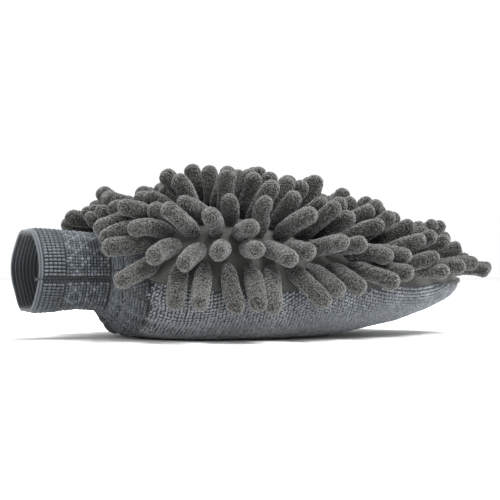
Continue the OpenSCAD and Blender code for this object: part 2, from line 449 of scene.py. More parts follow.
def arch_shape(segments=5, sides=5, span=1.0, height=1.0, thickness=0.3):
    """A loop of yarn: a bent tube that rises out of its ground along +Z and runs along X."""
    t = np.linspace(-0.12, 1.12, segments + 1) * math.pi
    centre = np.stack([-np.cos(t) * span / 2, np.zeros_like(t), np.sin(t) * height], -1)
    out = np.stack([-np.cos(t), np.zeros_like(t), np.sin(t)], -1)
    points = centre[:, None] + thickness * circles(out, np.array([[0.0, 1.0, 0.0]]), sides)
    return points.reshape(-1, 3), grid_quads(segments + 1, sides, close_cols=True)


def bead_shape(roundness=0.72):
    """A closed soft box of about unit half-sizes, from a cube cut once."""
    bm = bmesh.new()
    bmesh.ops.create_cube(bm, size=2)
    bmesh.ops.subdivide_edges(bm, edges=bm.edges, cuts=1, use_grid_fill=True)
    points = np.array([v.co[:] for v in bm.verts])
    quads = np.array([[v.index for v in f.verts] for f in bm.faces])
    bm.free()
    ball = unit(points) * 1.15
    return points * (1 - roundness) + ball * roundness, quads


# ---- Shape of the pouch, as the CAD makes it ----


STATION_STEP, ANGLE_STEP = 4e-4, 7e-3


def broadcast(*values):
    return np.broadcast_arrays(*(np.asarray(value, float) for value in values))


def shoulder(s):
    return np.sqrt(1 - (1 - np.minimum(1, s / widest_s)) ** 2)


def past_widest(s):
    return np.clip((s - widest_s) / (1 - widest_s), 0, 1)


def taper(s, p, q):
    return np.maximum(0, 1 - past_widest(s) ** p) ** (1 / q)


def half_width(s):
    return (neck_w + (half_w - neck_w) * shoulder(s)) * taper(s, *PLAN_TAPER)


def narrowed(r, depth):
    return r * r / np.maximum(r + depth, 1e-9)


def skin_point(s, angle, side, depth=0.0):
    """A point of the skin or of a layer under it: s from 0 at the neck to 1 at the tip, angle in radians
    from the -Y seam to the +Y seam, side 1 for the back and -1 for the palm."""
    s, angle, depth = broadcast(s, angle, depth)
    s0, s1 = np.maximum(s - STATION_STEP, 0), np.minimum(s + STATION_STEP, 1)
    way = unit(np.stack([half_width(s1) - half_width(s0), pouch_len * (s1 - s0)], -1))
    sh = shoulder(s)
    seam = np.where(s < widest_s, neck_z + (seam_h - neck_z) * sh,
                    seam_h + (tip_h - seam_h) * past_widest(s) ** 2)
    width = narrowed(half_width(s), depth * way[..., 1])
    sine, cosine = np.abs(np.sin(angle)), np.cos(angle)
    if side > 0:
        crown = (neck_half_h + (crest_h - seam_h - neck_half_h) * sh) * taper(s, *BACK_TAPER)
        z = seam + seam_gap / 2 + narrowed(crown, depth * way[..., 1]) * sine
        y = -width * cosine
    else:
        drop = (neck_half_h + (seam_h + sink - neck_half_h) * sh) * taper(s, *PALM_TAPER)
        z = seam - seam_gap / 2 - narrowed(drop, depth * way[..., 1]) * sine ** PALM_SQUARENESS
        z = np.maximum(z, depth)
        y = -width * np.sign(cosine) * np.abs(cosine) ** PALM_SQUARENESS
    return np.stack([neck_x + pouch_len * s + depth * way[..., 0], y, z], -1)


def skin_normal(s, angle, side):
    after, before = np.minimum(s + STATION_STEP, 1), np.maximum(s - STATION_STEP, 0)
    along = skin_point(after, angle, side) - skin_point(before, angle, side)
    across = skin_point(s, angle + ANGLE_STEP, side) - skin_point(s, angle - ANGLE_STEP, side)
    return side * unit(np.cross(along, across))


def panel_grid(rows, cols, first=0.0):
    """Grid of stations and angles over a panel, closer together towards both ends."""
    s = first + (LAST_STATION - first) * eased(rows)
    a = np.linspace(0, math.pi, cols)
    return np.meshgrid(s, a, indexing="ij")


def seam_lengths(points):
    """Weave coordinates of a grid of points: length along the seam, and distance from the nearer seam."""
    run = run_length(points[:, 0])
    across = arc_lengths(points)[..., 1]
    return np.stack([run[:, None] + 0 * across, across[:, -1:] - np.abs(across)], -1)


def arc_lengths(points):
    """Cloth coordinates of a grid of points: length along the rows' middle, and across from the middle."""
    along = np.concatenate([np.zeros((1, points.shape[1])),
                            np.cumsum(np.linalg.norm(np.diff(points, axis=0), axis=-1), 0)])
    across = np.concatenate([np.zeros((points.shape[0], 1)),
                             np.cumsum(np.linalg.norm(np.diff(points, axis=1), axis=-1), 1)], 1)
    across = across - across[:, -1:] / 2
    middle = along[:, points.shape[1] // 2][:, None] + 0 * across
    return np.stack([middle, across], -1)


def shell(name, outer, inner, material, uv=None, tone=None):
    """A closed cloth between two grids of points."""
    rows, cols = outer.shape[:2]
    n = rows * cols
    front = grid_quads(rows, cols)
    back = front[:, ::-1] + n
    rim = []
    for strip in (np.arange(cols), np.arange(cols) + (rows - 1) * cols,
                  np.arange(rows) * cols, np.arange(rows) * cols + cols - 1):
        rim.append(np.stack([strip[:-1], strip[1:], strip[1:] + n, strip[:-1] + n], -1))
    rim[0], rim[3] = rim[0][:, ::-1], rim[3][:, ::-1]
    points = np.concatenate([outer.reshape(-1, 3), inner.reshape(-1, 3)])
    uv2 = None if uv is None else np.concatenate([uv.reshape(-1, 2)] * 2)
    tone2 = None if tone is None else np.concatenate([tone.ravel()] * 2)
    return closed_mesh(name, points, np.concatenate([front, back, *rim]), None, material, uv2, tone2)


# ---- Backing ----


def gathers(s, angle, count, phase):
    """Pleats of the cloth where it is drawn in to the neck, as a height."""
    strength = smooth_step(s, 0.0, 0.03) * (1 - smooth_step(s, 0.06, 0.24))
    fold = np.sin(angle * count + phase) + 0.5 * np.sin(angle * count * 0.62 + 2 * phase)
    return strength * fold * MM


def panel_height(s, angle, side, pleats, ripple):
    """How far a panel's cloth stands out from the plain skin."""
    height = gathers(s, angle, pleats, side) if pleats else 0 * s
    waves = np.sin(s * 31 + 2 * np.sin(angle * 3)) * np.sin(angle * 5 + s * 9)
    height = height + ripple * waves * np.sin(angle)
    return height * (1 - smooth_step(s, 0.93, 0.99))


def at_seam(angle):
    """1 at the two seams of a panel, and 0 away from them."""
    return np.exp(-(np.sin(angle) / 0.05) ** 2)


def cloth_panel(name, side, depth, thickness, rows, cols, material, first=0.0, pleats=0, ripple=0.0,
                tone=None, closing=0.0):
    """A panel of cloth between two depths. Its edges reach closing further towards the seam."""
    s, a = panel_grid(rows, cols, first)
    height = panel_height(s, a, side, pleats, ripple)
    normal = skin_normal(np.minimum(s, 0.9975), a, side)
    outer = skin_point(s, a, side, depth)
    inner = skin_point(s, a, side, depth + thickness)
    if side < 0:
        height = height * smooth_step(outer[..., 2], depth, depth + 6 * MM)
    edge = at_seam(a) * closing * -side
    for layer in (outer, inner):
        layer += normal * height[..., None]
        layer[..., 2] += edge
    uv = arc_lengths(outer)
    shade = None if tone is None else np.full(s.shape, tone)
    obj = shell(name, outer, inner, material, seam_lengths(outer), shade)
    patches = np.cross(np.diff(outer, axis=0)[:, :-1], np.diff(outer, axis=1)[:-1])
    return obj, uv, np.linalg.norm(patches, axis=-1).sum()


backing, backing_uv, backing_area = cloth_panel(
    "twill_backing", 1, 0.0, 1.8 * MM, 150, 130, twill, pleats=13, ripple=0.35 * MM, closing=0.5 * MM)
rides_pouch(backing, "backing_twill", "chenille_backing")

# ---- Terry palm ----

TERRY_DEPTH = 0.9 * MM
TERRY_PLEATS, TERRY_RIPPLE = 15, 0.7 * MM
LOOP_PITCH = 1.7 * MM
# The ground cloth under the loops takes the darkened terry copy at tone 0.7: painted shade between the
# loops.
terry, terry_uv, terry_area = cloth_panel(
    "terry_cloth", -1, TERRY_DEPTH, 1.3 * MM, 150, 130, terry_ground_shade_mat, pleats=TERRY_PLEATS,
    ripple=TERRY_RIPPLE, tone=0.7, closing=0.7 * MM)
rides_pouch(terry, "terry_loops", "terry_palm")


def loop_places():
    """Stations and angles of yarn loops, in staggered rows over the whole palm, and each loop's row."""
    table_s = np.linspace(0.03, 0.996, 1500)
    line = skin_point(table_s, math.radians(50), -1)
    run = run_length(line)
    stations = np.interp(np.arange(LOOP_PITCH / 2, run[-1], LOOP_PITCH), run, table_s)
    angles = np.linspace(0, math.pi, 400)
    s_all, a_all, row = [], [], []
    for k, s in enumerate(stations):
        ring = skin_point(s, angles, -1)
        arc = run_length(ring)
        half = arc[-1] / 2
        count = int(half / LOOP_PITCH)
        offsets = (np.arange(-count, count + 1) + 0.5 * (k % 2)) * LOOP_PITCH + half
        offsets = offsets[(offsets > 0.3 * MM) & (offsets < arc[-1] - 0.3 * MM)]
        a_all.append(np.interp(offsets, arc, angles))
        s_all.append(np.full(len(offsets), s))
        row.append(np.full(len(offsets), k))
    return np.concatenate(s_all), np.concatenate(a_all), np.concatenate(row)


def terry_loops(pieces=3):
    """Loops of yarn over the palm, in a few meshes."""
    rng = np.random.default_rng(5)
    s, a, row = loop_places()
    n = len(s)
    s = np.clip(s + rng.normal(0, 0.0008, n), 0.03, 0.9965)
    a = np.clip(a + rng.normal(0, 0.0015, n), 0.002, math.pi - 0.002)
    place = skin_point(s, a, -1, TERRY_DEPTH + 0.1 * MM)
    normal = skin_normal(s, a, -1)
    height = panel_height(s, a, -1, TERRY_PLEATS, TERRY_RIPPLE)
    height = height * smooth_step(place[:, 2], TERRY_DEPTH, 7 * MM)
    place = place + normal * height[:, None]
    place[:, 2] += at_seam(a) * 0.5 * MM
    along = unit(skin_point(np.minimum(s + 1e-3, 0.999), a, -1) - skin_point(s - 1e-3, a, -1))
    turn = np.where(row % 2 == 0, 0.95, 0.45) + rng.normal(0, 0.22, n)
    across = unit(np.cross(normal, along))
    x = np.cos(turn)[:, None] * along + np.sin(turn)[:, None] * across
    lean = 0.12 * across * rng.normal(0, 1, n)[:, None]
    z = unit(normal + lean + 0.12 * along * rng.normal(0, 1, n)[:, None])
    x = unit(x - z * (x * z).sum(1, keepdims=True))
    axes = np.stack([x, np.cross(z, x), z], 1)
    size = rng.uniform(0.9, 1.12, (n, 3)) * MM
    size[:, 2] *= 0.5 + 0.5 * smooth_step(place[:, 2], 0.9 * MM, 3 * MM)
    shape, shape_quads = arch_shape(span=0.95, height=0.66, thickness=0.46)
    tone = rng.uniform(0.3, 1.0, n)
    made = []
    for k, part in enumerate(np.array_split(np.arange(n), pieces)):
        points, quads = scatter(shape, shape_quads, place[part], axes[part], size[part])
        points[:, 2] = np.maximum(points[:, 2], 0)
        obj = make_mesh("terry_loops_%d" % (k + 1), points, quads, None, terry_loop_mat,
                        tone=np.repeat(tone[part], len(shape)))
        rides_pouch(obj, "terry_loops")
        made.append(obj)
    return made


loops = terry_loops()

# ---- Cuff ----

cuff_r, cuff_flat, wall = 20.5 * MM, 6.5 * MM, 2.0 * MM
mouth_x = cuff_low.x
cuff_length = 51 * MM
RIB_PITCH = 1.7 * MM
neck_v = neck_x - mouth_x
SEAM_DROP = 5 * MM
seam_turn = math.pi + math.asin(SEAM_DROP / cuff_r)
QUARTER = math.pi / 2
PERIMETER = TAU * cuff_r + 4 * cuff_flat
CORNERS = np.cumsum([QUARTER * cuff_r, 2 * cuff_flat, math.pi * cuff_r, 2 * cuff_flat])


def oval(u):
    """Middle and outward normal in YZ of the cuff's section, u in metres round it from the side seam."""
    w = np.mod(u + seam_turn * cuff_r + 2 * cuff_flat, PERIMETER)
    a1, a2, a3, a4 = CORNERS
    pick = [w < a1, w < a2, w < a3, w < a4]
    none = 0 * w
    angle = np.select(pick, [w / cuff_r, QUARTER + none, QUARTER + (w - a2) / cuff_r, 3 * QUARTER + none],
                      3 * QUARTER + (w - a4) / cuff_r)
    middles = [cuff_flat + none, cuff_flat - (w - a1), -cuff_flat + none, -cuff_flat + (w - a3)]
    centre = np.select(pick, middles, cuff_flat + none)
    return np.stack([centre, none], -1), np.stack([np.cos(angle), np.sin(angle)], -1)


def cuff_point(v, u, out=0.0):
    """A point of the cuff's outside: v from the mouth, u round from the side seam, out along the normal.
    Past the neck the knit is spread over the pouch and gathered."""
    v, u, out = broadcast(v, u, out)
    centre, normal = oval(u)
    turn = np.arctan2(normal[..., 1], normal[..., 0])
    at_mouth = 1 - smooth_step(v, 0, 28 * MM)
    spread = np.sin(QUARTER * smooth_step(v, 35.5 * MM, neck_v + 3 * MM))
    waist = -0.9 * MM * smooth_step(v, 12 * MM, 26 * MM) + 0.4 * MM * np.sin(v / (6 * MM) + u / (25 * MM))
    waist = waist - 1.7 * MM * smooth_step(v, 3 * MM, 18 * MM) * np.maximum(np.sin(turn), 0)
    lip = 0.2 * MM * (1 - smooth_step(v, 0, 4 * MM))
    far_corners = np.exp(-((np.abs(turn) - 0.8) / 0.6) ** 2)
    mouth_shape = 0.7 * (np.cos(4 * turn) - 1) + 0.35 * np.sin(3 * turn + 0.4) - 1.4 * far_corners
    mouth_shape = mouth_shape * MM * at_mouth
    from_seam = np.mod(u + PERIMETER / 2, PERIMETER) - PERIMETER / 2
    groove = -1.0 * MM * np.exp(-(from_seam / (0.7 * MM)) ** 2) * smooth_step(out, -1.9 * MM, -0.3 * MM)
    thin = 1 - 0.65 * spread
    folds = (0.75 * np.sin(23 * turn + 2 * np.sin(3 * turn)) + 0.5 * np.sin(14 * turn + 1.0)) * MM
    folds = folds * smooth_step(v, 36 * MM, 42 * MM) * (1 - 0.6 * smooth_step(v, 46 * MM, 50 * MM))
    tube = centre + normal * (cuff_r + waist + lip + mouth_shape + groove + out * thin)[..., None]
    s = np.maximum((mouth_x + v - neck_x) / pouch_len, 0)
    half_turns = math.pi - np.mod(turn, TAU)
    up = half_turns > 0
    angle = np.abs(half_turns)
    pouch = np.where(up[..., None], skin_point(s, angle, 1), skin_point(s, angle, -1))[..., 1:] - [0, neck_z]
    tuck = 1.5 * MM * smooth_step(v, cuff_length - 1.5 * MM, cuff_length)
    pouch = pouch + unit(pouch) * (1.6 * MM + out * thin - tuck)[..., None]
    yz = tube * (1 - spread)[..., None] + pouch * spread[..., None] + normal * folds[..., None]
    yaw = 0.085 * (1 - smooth_step(v, 0, 26 * MM))
    z = np.maximum(neck_z + yz[..., 1], 0.3 * MM)
    return np.stack([mouth_x + v - yaw * yz[..., 0], yz[..., 0], z], -1)


def cuff_axes(v, u):
    """Along the cuff, round it, and outward, at points of its outside."""
    d = 0.25 * MM
    along = unit(cuff_point(v + d, u) - cuff_point(v - d, u))
    round_it = unit(cuff_point(v, u + d) - cuff_point(v, u - d))
    away = unit(np.cross(along, round_it))
    return np.stack([along, np.cross(away, along), away], 1)


def rides_cuff(obj, slot_name, *nodes):
    """Bakes a piece of the cuff's placement into its points, and hides the CAD parts that it stands for."""
    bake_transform(obj)
    if nodes:
        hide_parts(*nodes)
    return obj


def build_webbing():
    """The knit tube: a closed section swept round, with a rounded selvedge at the mouth and inner ribs."""
    n_v, n_u = 130, 360
    bead_count, course_pitch = 130, 1.15 * MM
    v_out = np.linspace(0.8 * MM, cuff_length, n_v)
    u = np.arange(n_u) / n_u * PERIMETER
    turn = np.linspace(math.pi, 0, 9)[1:-1]
    lip_v = 0.8 * MM - 0.9 * MM * np.sin(turn)
    lip_out = -wall / 2 + np.cos(math.pi - turn) * wall / 2
    v = np.concatenate([v_out[::-1], lip_v[::-1], v_out])
    out = np.concatenate([np.zeros(n_v), lip_out[::-1], np.full(n_v, -wall)])
    ribs = np.where(out < -wall * 0.9, 0.1 * MM * np.sin(v * TAU / RIB_PITCH), 0)
    vv, uu = np.meshgrid(v, u, indexing="ij")
    oo = (out + ribs)[:, None] + 0 * uu
    bead = (np.abs(vv) < 1.5 * MM) * 0.12 * MM * np.sin(uu * TAU / (PERIMETER / bead_count))
    knit = (oo > -0.1 * MM) * 0.06 * MM * np.sin(vv * TAU / course_pitch)
    grid = cuff_point(vv, uu, oo + bead + knit)
    uv = np.stack([vv, uu], -1)
    quads = grid_quads(len(v), n_u, close_cols=True, close_rows=True)
    obj = closed_mesh("knit_cuff", grid.reshape(-1, 3), quads, None, webbing, uv.reshape(-1, 2))
    obj.data.materials.append(webbing_inside)
    obj.data.materials.append(webbing_raised_highlight)
    # The outside keeps the dark ground copy, painted shade between the raised stitches; the rounded selvedge
    # at the mouth takes the lighter raised copy, a painted highlight.
    look = np.zeros((len(v), n_u), np.int32)
    look[n_v + len(lip_v) - 1:-1] = 1
    look[n_v - 4:n_v + len(lip_v) - 1] = 2
    obj.data.polygons.foreach_set("material_index", look.ravel())
    return obj


knit = build_webbing()
rides_cuff(knit, "elastic_webbing", "cuff_webbing")


SEAM_CLEAR = 1.0 * MM


def stitch_rows(first, last, pitch, count, stagger=0.0):
    """A grid of stitches on the cuff, pitch apart along the cloth and clear of the side seam: distance from
    the mouth and distance round for each, with its row and column."""
    v = np.linspace(first, last, 400)
    round_it = np.arange(24) / 24 * PERIMETER
    steps = np.linalg.norm(np.diff(cuff_point(v[:, None], round_it[None]), axis=0), axis=-1).mean(1)
    run = np.concatenate([[0], np.cumsum(steps)])
    stations = np.interp(np.arange(0, run[-1], pitch), run, v)
    row, column = np.meshgrid(np.arange(len(stations)), np.arange(count), indexing="ij")
    row, column = row.ravel(), column.ravel()
    u = (column + 0.5 + stagger * (row % 2)) * PERIMETER / count
    from_seam = np.minimum(np.mod(u, PERIMETER), PERIMETER - np.mod(u, PERIMETER))
    keep = from_seam > SEAM_CLEAR
    return stations[row][keep], u[keep], row[keep], column[keep]


def stitch_mesh(name, v, u, size, seed, strong=None):
    """Raised stitches of the knit, each about size across, in the lighter copy of the knit as a painted
    highlight, with the strong ones lighter still.
    """
    rng = np.random.default_rng(seed)
    v = v + rng.normal(0, 0.05 * MM, len(v))
    u = u + rng.normal(0, 0.05 * MM, len(u))
    size = size * rng.uniform(0.88, 1.12, size.shape) * MM
    shape, quads = bead_shape()
    points, faces = scatter(shape, quads, cuff_point(v, u, 0.05 * MM), cuff_axes(v, u), size)
    points[:, 2] = np.maximum(points[:, 2], 0)
    uv = np.repeat(np.stack([v, u], -1), len(shape), 0)
    obj = make_mesh(name, points, faces, None, webbing_raised_highlight, uv)
    if strong is not None:
        obj.data.materials.append(webbing_zigzag_highlight)
        obj.data.polygons.foreach_set("material_index", np.repeat(strong, len(quads)).astype(np.int32))
    return rides_cuff(obj, "elastic_webbing")


def tube_stitches():
    """Raised bars in a square grid near the mouth, then a finer field crossed by a lattice of zigzags."""
    v1, u1, _, _ = stitch_rows(3.5 * MM, 13.5 * MM, 2.3 * MM, 88)
    v2, u2, row, column = stitch_rows(15.3 * MM, 37.5 * MM, 1.62 * MM, 96)
    cell = 6
    zigzag = ((row + column) % cell == 0) | ((row - column) % cell == 0)
    size1 = np.tile([0.86, 0.5, 0.65], (len(v1), 1))
    size2 = np.where(zigzag[:, None], [0.74, 0.72, 0.85], [0.54, 0.54, 0.5])
    strong = np.concatenate([np.zeros(len(v1), bool), zigzag])
    return stitch_mesh("raised_stitches", np.concatenate([v1, v2]), np.concatenate([u1, u2]),
                       np.concatenate([size1, size2]), 3, strong)


def gather_stitches():
    """Small stitches where the knit spreads over the pouch and is gathered."""
    v, u, _, _ = stitch_rows(38.2 * MM, cuff_length - 0.7 * MM, 1.5 * MM, 150, 0.5)
    return stitch_mesh("gather_stitches", v, u, np.tile([0.62, 0.66, 0.45], (len(v), 1)), 4)


stitches = [tube_stitches(), gather_stitches()]


def elastic_rings():
    """Covered elastic threads that rib the inside of the cuff."""
    r = 0.22 * MM
    n_u, sides = 160, 6
    u = np.arange(n_u) / n_u * PERIMETER
    angle = np.arange(sides) / sides * TAU
    points, quads, n = [], [], 0
    for v in np.arange(RIB_PITCH * 1.2, neck_v - 4 * MM, RIB_PITCH):
        vv = v + r * np.cos(angle)[:, None] + 0 * u
        out = -wall + r * np.sin(angle)[:, None] + 0 * u
        grid = cuff_point(vv, u[None] + 0 * vv, out)
        points.append(grid.reshape(-1, 3))
        quads.append(grid_quads(sides, n_u, close_cols=True, close_rows=True) + n)
        n += sides * n_u
    return closed_mesh("elastic_threads", np.concatenate(points), np.concatenate(quads), None, elastic)


rides_cuff(elastic_rings(), "elastic_thread", "cuff_elastic_threads")


# A direction that no thread of the mitt runs along
THREAD_REFERENCE = np.array([0.31, 0.23, 0.92])


def tube_along(paths, radius, sides=6):
    """Tubes along paths, each an (n, 3) array. Returns points, quads and tris."""
    points, quads, tris, n = [], [], [], 0
    for path in paths:
        path = np.asarray(path)
        tangent = unit(np.gradient(path, axis=0))
        e1 = unit(np.cross(tangent, THREAD_REFERENCE))
        ring = radius * circles(e1, np.cross(tangent, e1), sides)
        ring[0] *= 0.4
        ring[-1] *= 0.4
        points.append((path[:, None] + ring).reshape(-1, 3))
        rows = len(path)
        quads.append(grid_quads(rows, sides, close_cols=True) + n)
        fan = np.arange(1, sides - 1)
        tris.append(np.stack([np.full(len(fan), n), n + fan + 1, n + fan], -1))
        last = n + (rows - 1) * sides
        tris.append(np.stack([np.full(len(fan), last), last + fan, last + fan + 1], -1))
        n += rows * sides
    return np.concatenate(points), np.concatenate(quads), np.concatenate(tris)


def side_seam():
    """Whip stitches across the cuff's side seam, the thread along it, and its loose end at the mouth."""
    rng = np.random.default_rng(8)
    paths = []
    v = np.linspace(1.0 * MM, cuff_length - 1 * MM, 160)
    paths.append(cuff_point(v, 0.12 * MM * np.sin(v / (0.7 * MM)), -0.55 * MM))
    for start in np.arange(1.6 * MM, cuff_length - 3 * MM, 2.0 * MM):
        t = np.linspace(-1, 1, 7)
        v = start + 0.55 * MM * t + rng.normal(0, 0.05 * MM)
        lift = 0.15 * MM - 0.75 * MM * (1 - t ** 2)
        paths.append(cuff_point(v, 1.15 * MM * t, lift))
    t = np.linspace(0, 1, 12)
    for side in (-1, 1):
        tail = cuff_point(0.6 * MM - 2.3 * MM * t, side * 0.5 * MM * np.sin(3 * t), -0.2 * MM + 0.6 * MM * t)
        tail = tail + np.outer(t ** 2, [0.0, 0.0, side * 0.8 * MM])
        paths.append(tail)
    return closed_mesh("side_seam_thread", *tube_along(paths, 0.26 * MM), seam_thread)


rides_cuff(side_seam(), "seam_thread", "cuff_seam_thread")


def seam_allowance():
    """The two webbing ends, folded flat against the inside of the cuff along its side seam."""
    n_v, n_u = 60, 12
    v = np.linspace(1.5 * MM, neck_v - 2 * MM, n_v)
    parts, quads, n = [], [], 0
    for side in (-1, 1):
        t = np.linspace(0, 1, n_u)
        u = side * (0.3 * MM + 5.2 * MM * t)
        rise = -wall - 0.4 * MM - 0.4 * MM * np.exp(-t * 6) + 0.12 * MM * np.sin(t * 9)
        vv, uu = np.meshgrid(v, u, indexing="ij")
        upper = cuff_point(vv, uu, rise[None] - 0.9 * MM + 0.12 * MM * np.sin(vv / (1.1 * MM)))
        lower = cuff_point(vv, uu, rise[None] + 0 * vv)
        ring = np.concatenate([upper, lower[:, ::-1]], 1)
        parts.append(ring.reshape(-1, 3))
        quads.append(grid_quads(n_v, 2 * n_u, close_cols=True) + n)
        k = np.arange(n_u - 1)
        end = np.stack([k, k + 1, 2 * n_u - 2 - k, 2 * n_u - 1 - k], -1)
        quads += [end + n, end + n + (n_v - 1) * 2 * n_u]
        n += n_v * 2 * n_u
    points = np.concatenate(parts)
    points[:, 2] = np.maximum(points[:, 2], 0)
    return closed_mesh("seam_allowance", points, np.concatenate(quads), None, webbing_inside,
                       points[:, [0, 2]])


rides_cuff(seam_allowance(), "elastic_webbing", "cuff_seam_allowance")

# ---- Neck gather, seams and inner layers ----


def ring_point(u, radial, x):
    """A point round the neck opening, at a distance from the middle of the cuff's section."""
    centre, normal = oval(u)
    yz = centre + normal * np.asarray(radial)[..., None]
    return np.stack([x + 0 * yz[..., 0], yz[..., 0], neck_z + yz[..., 1]], -1)


def neck_tape():
    """The soft folded tape round the raw edges at the neck."""
    n_u, n_t = 300, 12
    low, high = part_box("neck_binding")
    u = np.arange(n_u) / n_u * PERIMETER
    t = np.arange(n_t) / n_t * TAU
    uu, tt = np.meshgrid(u, t, indexing="ij")
    soft = 1 + 0.08 * np.sin(uu / (2.1 * MM))
    radial = (high.z - low.z) / 2 - 0.65 * MM + 0.65 * MM * np.cos(tt) * soft
    ring = ring_point(uu, radial, (low.x + high.x) / 2 + 0.6 * MM * np.sin(tt) * soft)
    uv = np.stack([uu, tt * 0.6 * MM], -1)
    quads = grid_quads(n_u, n_t, close_cols=True, close_rows=True)
    return closed_mesh("neck_tape", ring.reshape(-1, 3), quads, None, webbing_inside, uv.reshape(-1, 2))


rides_pouch(neck_tape(), "binding_tape", "neck_binding")


def neck_threads():
    """Zigzag stitches on the tape."""
    low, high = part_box("neck_binding")
    u = np.linspace(0, PERIMETER, 900)
    wave = np.abs(np.mod(u / (2.4 * MM), 1) * 2 - 1)
    path = ring_point(u, (high.z - low.z) / 2 - 1.0 * MM + 0.7 * MM * wave, low.x - 0.1 * MM)
    return closed_mesh("neck_zigzag", *tube_along([path], 0.2 * MM), plain_thread)


rides_pouch(neck_threads(), "sewing_thread", "neck_stitching")


SEAM_START = 0.04


def perimeter_path(inset):
    """Points along the perimeter seam, from the near side of the neck round the tip to the far side."""
    s_near = SEAM_START + (LAST_STATION - SEAM_START) * eased(200)
    near = skin_point(s_near, 0.0 * s_near, 1)
    far = skin_point(s_near[::-1], math.pi + 0 * s_near, 1)
    path = np.concatenate([near, far])
    path[:, 2] -= seam_gap / 2
    path[:, 1] *= 1 - inset / half_w
    return path


def resample(path, pitch):
    run = run_length(path)
    at = np.arange(0, run[-1], pitch)
    return np.stack([np.interp(at, run, path[:, k]) for k in range(3)], -1)


def edge_overlock():
    """The folded cloth edges in the crease between the panels, with overlock stitches over them."""
    path = resample(perimeter_path(1.6 * MM), 0.8 * MM)
    tangent = unit(np.gradient(path, axis=0))
    out = unit(np.cross(tangent, [0, 0, 1.0]))
    # Fuller at the tip, where it closes the slot between the panels
    tip = smooth_step(path[:, 0], 86 * MM, 93 * MM)
    puff = (1 + 0.1 * np.sin(np.arange(len(path)) * 1.3)) * (1 + 2.0 * tip)
    sides = 8
    ring = circles(out * 1.4 * MM, np.array([0, 0, 0.5 * MM]) * puff[:, None], sides)
    rows = len(path)
    points = (path[:, None] + ring).reshape(-1, 3)
    quads = grid_quads(rows, sides, close_cols=True)
    fan = np.arange(1, sides - 1)
    tris = np.concatenate([np.stack([0 * fan, fan + 1, fan], -1),
                           (rows - 1) * sides + np.stack([0 * fan, fan, fan + 1], -1)])
    # The edge takes the darkened terry copy at tone 0.4: painted shade in the crease between the panels.
    edge = closed_mesh("overlocked_edge", points, quads, tris, terry_ground_shade_mat,
                       tone=np.full(len(points), 0.4))
    rides_pouch(edge, "overlock_seam", "edge_seam")
    stations = resample(perimeter_path(0.5 * MM), 1.9 * MM)
    way = unit(np.gradient(stations, axis=0))
    away = unit(np.cross(way, [0, 0, 1.0]))
    t = np.linspace(-1, 1, 7)
    rise = np.outer(t, [0, 0, 0.9 * MM])
    paths = [p + np.outer(t, w) * 0.5 * MM + np.outer(1 - t ** 2, a) * 0.55 * MM + rise
             for p, w, a in zip(stations, way, away)]
    threads = closed_mesh("overlock_stitches", *tube_along(paths, 0.2 * MM, 5), overlock_thread)
    rides_pouch(threads, "overlock_seam")


edge_overlock()

INNER_START = 0.067
for side, half in ((1, "back"), (-1, "palm")):
    pad, _, _ = cloth_panel(
        "soft_%s_sponge" % half, side, 2.9 * MM, 2.5 * MM, 60, 50, sponge, first=INNER_START)
    rides_pouch(pad, "sponge", half + "_sponge")

for side, half in ((1, "back"), (-1, "palm")):
    lining, lining_uv, lining_area = cloth_panel(
        "soft_%s_liner" % half, side, 5.9 * MM, 0.6 * MM, 80, 70, liner_cloth, first=INNER_START)
    rides_pouch(lining, "liner_cloth", half + "_liner")

row_threads = frame["nodes"]["row_stitching"]
row_threads.data.materials.clear()
row_threads.data.materials.append(plain_thread)

# ---- Chenille fingers ----

FINGER_R = 4.3 * MM
# Points of each finger's chain. The first two stay put, and the last lies inside the round tip.
CHAIN = 8
TIP_SHARE = 0.6


def read_fingers(node):
    """Root, direction and length of each finger of a CAD row, from its separate solids."""
    bm = bmesh.new()
    bm.from_mesh(frame["nodes"][node].data)
    bmesh.ops.remove_doubles(bm, verts=bm.verts, dist=1e-6)
    seen, found = set(), []
    for start in bm.verts:
        if start in seen:
            continue
        island, stack = [], [start]
        seen.add(start)
        while stack:
            v = stack.pop()
            island.append(v.co[:])
            for e in v.link_edges:
                w = e.other_vert(v)
                if w not in seen:
                    seen.add(w)
                    stack.append(w)
        p = np.array(island)
        middle = p.mean(0)
        axis = np.linalg.svd(p - middle, full_matrices=False)[2][0]
        t = (p - middle) @ axis
        radius = np.linalg.norm(p - middle - np.outer(t, axis), axis=1)
        if radius[t < t.min() + 3.5 * MM].max() > radius[t > t.max() - 3.5 * MM].max():
            axis, t = -axis, -t
        found.append((middle + axis * t.min(), axis, t.max() - t.min()))
    bm.free()
    return sorted(found, key=lambda f: (round(f[0][1], 6), round(f[0][2], 6)))


def skin_tree():
    """Search tree of the surfaces that the fingers lie against: both sides of the pouch, and the cuff."""
    s, a = panel_grid(60, 50)
    v, u = np.meshgrid(np.linspace(0, cuff_length, 30), np.arange(90) / 90 * PERIMETER, indexing="ij")
    points, faces, n = [], [], 0
    for grid, closed in ((skin_point(s, a, 1), False), (skin_point(s, a, -1), False),
                         (cuff_point(v, u), True)):
        points.append(grid.reshape(-1, 3))
        faces.append(grid_quads(*grid.shape[:2], close_cols=closed) + n)
        n += len(points[-1])
    return BVHTree.FromPolygons(np.concatenate(points).tolist(), np.concatenate(faces).tolist())


def finger_radius(root):
    """Fingers get slimmer towards the fingertip end."""
    return FINGER_R * (1 - 0.2 * smooth_step(root[..., 0], -30 * MM, 90 * MM))


